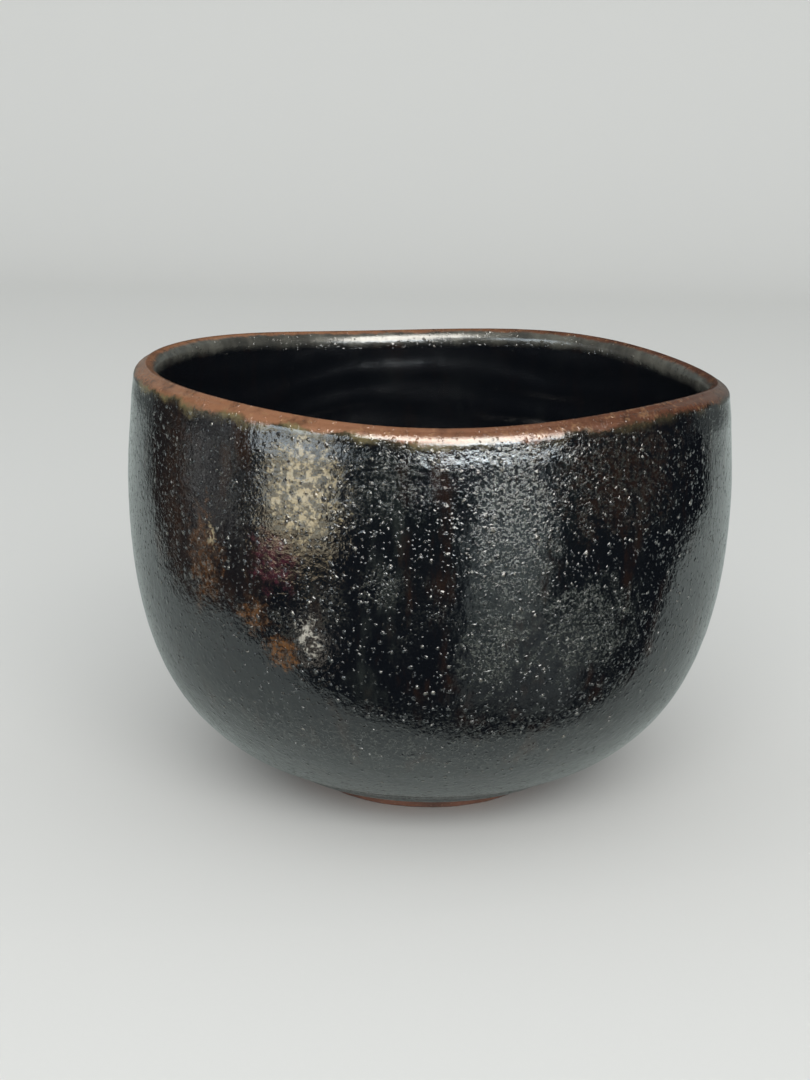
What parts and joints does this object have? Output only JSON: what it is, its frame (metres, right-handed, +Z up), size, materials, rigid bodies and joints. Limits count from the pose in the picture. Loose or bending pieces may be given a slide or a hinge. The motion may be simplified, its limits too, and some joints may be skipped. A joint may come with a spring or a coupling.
{
  "type": "matcha bowl",
  "caption": "Round, deep hand-thrown tea bowl with a gently wavy rim, a low turned foot ring, and separate clay and glaze layers.",
  "frame": {"origin": "centre of the foot, on the plane that the foot ring stands on", "axes": "+Z up along the bowl's turning axis; -Y is the front, the side that faces the drinker; +X to the right seen from the front"},
  "size_m": [0.12, 0.12, 0.0851],
  "materials": {
    "stoneware_clay": "bare, matt, fine-grained reddish-brown stoneware",
    "black_iron_glaze": "glossy black iron glaze with orange-peel texture, grey specks and faint blue and brown streaks",
    "rust_lip_glaze": "thin satin rust-brown glaze where the black glaze has run off the rim"
  },
  "bodies": {
    "root": {"clay_body": "stoneware_clay", "foot_ring": "stoneware_clay", "outer_glaze": "black_iron_glaze", "inner_glaze": "black_iron_glaze", "lip_glaze": "rust_lip_glaze"}
  },
  "joints": []
}
